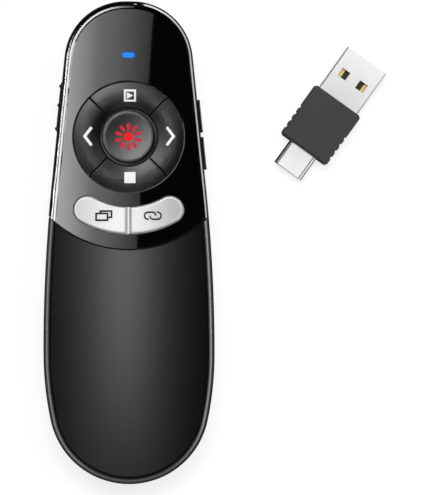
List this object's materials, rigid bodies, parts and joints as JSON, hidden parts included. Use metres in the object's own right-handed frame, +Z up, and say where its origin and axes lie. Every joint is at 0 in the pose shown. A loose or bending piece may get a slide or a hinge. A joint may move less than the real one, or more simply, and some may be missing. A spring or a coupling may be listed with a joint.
{
  "type": "wireless presentation clicker",
  "caption": "Hand-held presentation clicker with a round key ring, silver keys, laser, side keys, slider, battery cover and a two-ended plug-in receiver.",
  "frame": {"origin": "middle of the small flat on the back that the handset rests on", "axes": "+Z up out of the key face, +Y towards the laser end, +X to the right of the face seen from above"},
  "size_m": [0.0859, 0.12, 0.0229],
  "materials": {
    "rear_black": "fine satin texture, moulded black",
    "rim_black": "gloss black rim with a soft shoulder",
    "face_gloss": "mirror-gloss black plate with a bevelled edge",
    "grip_matte": "soft-touch matte black, very fine grain",
    "key_black": "satin black keys with a soft sheen",
    "key_silver": "satin silver lacquer",
    "side_black": "satin black side keys",
    "light_blue": "translucent blue light pipe",
    "window_dark": "dark red laser window",
    "switch_black": "moulded switch body",
    "stem_white": "white switch plunger",
    "board_green": "green solder-masked board",
    "chip_black": "black moulded chip",
    "can_steel": "nickel-plated steel",
    "laser_brass": "turned brass barrel",
    "screw_steel": "zinc-plated screw",
    "battery_skin": null,
    "plug_steel": "bright nickel-plated plug shell",
    "receiver_black": "satin black receiver housing",
    "tongue_black": "black plug tongue and liner",
    "contact_gold": "gold-plated contact strips",
    "icon_white": "white print on the ring keys",
    "icon_red": "red print on the middle key",
    "icon_black": "black print on the silver keys"
  },
  "bodies": {
    "handset": {"rear_housing": "rear_black", "front_housing": "rim_black", "faceplate": "face_gloss", "grip_cover": "grip_matte", "slide_switch_body": "can_steel", "face_switch_bodies": "switch_black", "side_switch_bodies": "switch_black", "circuit_board": "board_green", "radio_chip": "chip_black", "crystal": "can_steel", "light_pipe": "light_blue", "led_chip": "stem_white", "laser_module": "laser_brass", "laser_window": "window_dark", "housing_screws": "screw_steel", "battery": "battery_skin", "positive_contact": "can_steel", "negative_contact": "can_steel", "battery_spring": "can_steel", "key_divider": "key_silver"},
    "play_key": {"play_key": "key_black", "play_key_stem": "stem_white"},
    "previous_key": {"previous_key": "key_black", "previous_key_stem": "stem_white"},
    "stop_key": {"stop_key": "key_black", "stop_key_stem": "stem_white"},
    "next_key": {"next_key": "key_black", "next_key_stem": "stem_white"},
    "laser_key": {"laser_key": "key_black", "laser_key_stem": "stem_white"},
    "window_key": {"window_key": "key_silver", "window_key_stem": "stem_white"},
    "link_key": {"link_key": "key_silver", "link_key_stem": "stem_white"},
    "volume_up_key": {"volume_up_key": "side_black", "volume_up_stem": "stem_white"},
    "volume_down_key": {"volume_down_key": "side_black", "volume_down_stem": "stem_white"},
    "power_slider": {"power_slider": "side_black", "slide_switch_lever": "stem_white"},
    "battery_cover": {"battery_cover": "rear_black"},
    "receiver": {"receiver_board": "board_green", "receiver_chip": "chip_black", "receiver_housing": "receiver_black", "receiver_usb_a_contacts": "contact_gold", "receiver_usb_a_shell": "plug_steel", "receiver_usb_a_tongue": "tongue_black", "receiver_usb_c_contacts": "contact_gold", "receiver_usb_c_liner": "tongue_black", "receiver_usb_c_shell": "plug_steel"}
  },
  "joints": [
    {"name": "play_press", "type": "slide", "parent": "handset", "child": "play_key", "axis": [0, 0, -1], "range_m": [0, 0.0004], "stiffness_N_per_m": 3000, "springref_m": -0.0001},
    {"name": "previous_press", "type": "slide", "parent": "handset", "child": "previous_key", "axis": [0, 0, -1], "range_m": [0, 0.0004], "stiffness_N_per_m": 3000, "springref_m": -0.0001},
    {"name": "stop_press", "type": "slide", "parent": "handset", "child": "stop_key", "axis": [0, 0, -1], "range_m": [0, 0.0004], "stiffness_N_per_m": 3000, "springref_m": -0.0001},
    {"name": "next_press", "type": "slide", "parent": "handset", "child": "next_key", "axis": [0, 0, -1], "range_m": [0, 0.0004], "stiffness_N_per_m": 3000, "springref_m": -0.0001},
    {"name": "laser_press", "type": "slide", "parent": "handset", "child": "laser_key", "axis": [0, 0, -1], "range_m": [0, 0.0004], "stiffness_N_per_m": 3000, "springref_m": -0.0001},
    {"name": "window_press", "type": "slide", "parent": "handset", "child": "window_key", "axis": [0, 0, -1], "range_m": [0, 0.0004], "stiffness_N_per_m": 3000, "springref_m": -0.0001},
    {"name": "link_press", "type": "slide", "parent": "handset", "child": "link_key", "axis": [0, 0, -1], "range_m": [0, 0.0004], "stiffness_N_per_m": 3000, "springref_m": -0.0001},
    {"name": "volume_up_press", "type": "slide", "parent": "handset", "child": "volume_up_key", "axis": [-0.9949, -0.101, 0], "range_m": [0, 0.0004], "stiffness_N_per_m": 3000, "springref_m": -0.0001},
    {"name": "volume_down_press", "type": "slide", "parent": "handset", "child": "volume_down_key", "axis": [-0.9949, -0.101, 0], "range_m": [0, 0.0004], "stiffness_N_per_m": 3000, "springref_m": -0.0001},
    {"name": "power_slide", "type": "slide", "parent": "handset", "child": "power_slider", "axis": [-0.101, -0.9949, 0], "range_m": [0, 0.0022]},
    {"name": "cover_slide", "type": "slide", "parent": "handset", "child": "battery_cover", "axis": [0, -1, 0], "range_m": [0, 0.06]},
    {"name": "receiver_lift", "type": "slide", "parent": "handset", "child": "receiver", "axis": [0, 0, 1], "range_m": [0, 0.06]}
  ]
}
